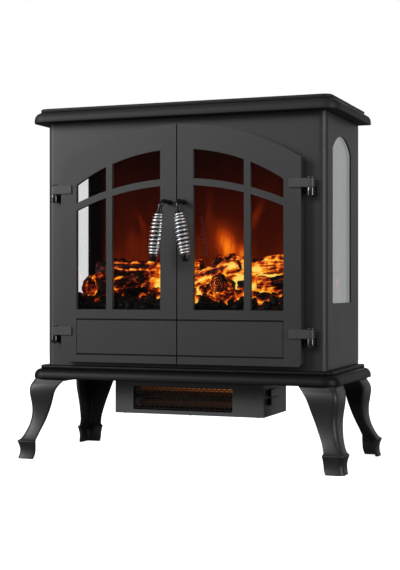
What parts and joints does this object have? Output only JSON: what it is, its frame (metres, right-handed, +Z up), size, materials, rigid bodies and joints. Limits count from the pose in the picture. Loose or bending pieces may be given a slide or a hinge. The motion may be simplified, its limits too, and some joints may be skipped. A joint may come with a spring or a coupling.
{
  "type": "electric stove heater",
  "caption": "Free-standing electric stove with arched glazed doors, side windows, log-effect firebox, cabriole legs and a fan heater under the base.",
  "frame": {"origin": "middle of the bounding box's underside, on the floor", "axes": "+Z up, -Y out of the front through the doors, +X to the right as seen from the front"},
  "size_m": [0.603, 0.309, 0.627],
  "materials": {
    "casing_black": "satin charcoal powder coat",
    "moulding_black": "semi-gloss black enamel",
    "leg_black": "satin black enamel on casting",
    "liner_black": "matt heat-proof black",
    "hinge_black": "gloss black enamel",
    "handle_black": "gloss black oxide",
    "chrome": "polished",
    "zinc": "bright zinc plate",
    "glass": "clear toughened",
    "black_plastic": "fine grained",
    "circuit_board": "solder resist",
    "quartz": "clear quartz with a dull glowing filament",
    "flame_screen": "smoked diffuser lit from behind",
    "ember_resin": "charred resin lit from below",
    "log_resin": "barked resin lit from inside"
  },
  "bodies": {
    "stove": {"top_plate": "moulding_black", "base_plate": "moulding_black", "front_panel": "casing_black", "left_side_panel": "casing_black", "right_side_panel": "casing_black", "back_panel": "casing_black", "heater_housing": "casing_black", "heater_grille": "casing_black", "firebox_liner": "liner_black", "front_left_leg": "leg_black", "front_right_leg": "leg_black", "rear_left_leg": "leg_black", "rear_right_leg": "leg_black", "left_side_glass": "glass", "right_side_glass": "glass", "left_upper_hinge_pintle": "hinge_black", "left_lower_hinge_pintle": "hinge_black", "right_upper_hinge_pintle": "hinge_black", "right_lower_hinge_pintle": "hinge_black", "heater_reflector": "chrome", "cord_gland": "black_plastic", "door_catch": "black_plastic", "control_bracket": "black_plastic", "rotor_motor": "zinc", "rotor_bracket": "zinc", "heater_fan_motor": "zinc", "led_board": "circuit_board", "control_board": "circuit_board", "upper_quartz_tube": "quartz", "lower_quartz_tube": "quartz", "flame_screen": "flame_screen", "ember_bed": "ember_resin", "log_back_left": "log_resin", "log_back_right": "log_resin", "log_rising": "log_resin", "log_centre": "log_resin", "log_dark": "log_resin", "log_far_left": "log_resin", "log_right": "log_resin"},
    "left_door": {"left_door_frame": "casing_black", "left_door_glass": "glass", "left_handle_rod": "handle_black", "left_handle_coil": "chrome", "left_handle_tip": "handle_black", "left_upper_hinge_strap": "hinge_black", "left_lower_hinge_strap": "hinge_black"},
    "right_door": {"right_door_frame": "casing_black", "right_door_glass": "glass", "right_handle_rod": "handle_black", "right_handle_coil": "chrome", "right_handle_tip": "handle_black", "right_upper_hinge_strap": "hinge_black", "right_lower_hinge_strap": "hinge_black"},
    "thermostat_knob": {"thermostat_knob": "black_plastic"},
    "flame_dimmer_knob": {"flame_dimmer_knob": "black_plastic"},
    "power_rocker": {"power_rocker": "black_plastic"},
    "low_heat_rocker": {"low_heat_rocker": "black_plastic"},
    "high_heat_rocker": {"high_heat_rocker": "black_plastic"},
    "rotor": {"flame_rotor": "chrome"},
    "fan": {"heater_fan": "zinc"}
  },
  "joints": [
    {"name": "left_door_hinge", "type": "hinge", "parent": "stove", "child": "left_door", "pos_m": [-0.2374, -0.10375, 0.35], "axis": [0, 0, -1], "range_deg": [0, 150]},
    {"name": "right_door_hinge", "type": "hinge", "parent": "stove", "child": "right_door", "pos_m": [0.2374, -0.10375, 0.35], "axis": [0, 0, 1], "range_deg": [0, 150]},
    {"name": "thermostat_turn", "type": "hinge", "parent": "stove", "child": "thermostat_knob", "pos_m": [-0.13, -0.09395, 0.22], "axis": [0, 1, 0], "range_deg": [0, 270]},
    {"name": "flame_dimmer_turn", "type": "hinge", "parent": "stove", "child": "flame_dimmer_knob", "pos_m": [0.11, -0.09395, 0.22], "axis": [0, 1, 0], "range_deg": [0, 270]},
    {"name": "power_tilt", "type": "hinge", "parent": "stove", "child": "power_rocker", "pos_m": [-0.06, -0.08895, 0.22], "axis": [1, 0, 0], "range_deg": [-16, 0]},
    {"name": "low_heat_tilt", "type": "hinge", "parent": "stove", "child": "low_heat_rocker", "pos_m": [-0.02, -0.08895, 0.22], "axis": [1, 0, 0], "range_deg": [-16, 0]},
    {"name": "high_heat_tilt", "type": "hinge", "parent": "stove", "child": "high_heat_rocker", "pos_m": [0.02, -0.08895, 0.22], "axis": [1, 0, 0], "range_deg": [-16, 0]},
    {"name": "rotor_spin", "type": "hinge", "parent": "stove", "child": "rotor", "pos_m": [0, 0.10805, 0.3], "axis": [1, 0, 0], "continuous": true},
    {"name": "fan_spin", "type": "hinge", "parent": "stove", "child": "fan", "pos_m": [0, 0.02805, 0.112], "axis": [1, 0, 0], "continuous": true}
  ]
}
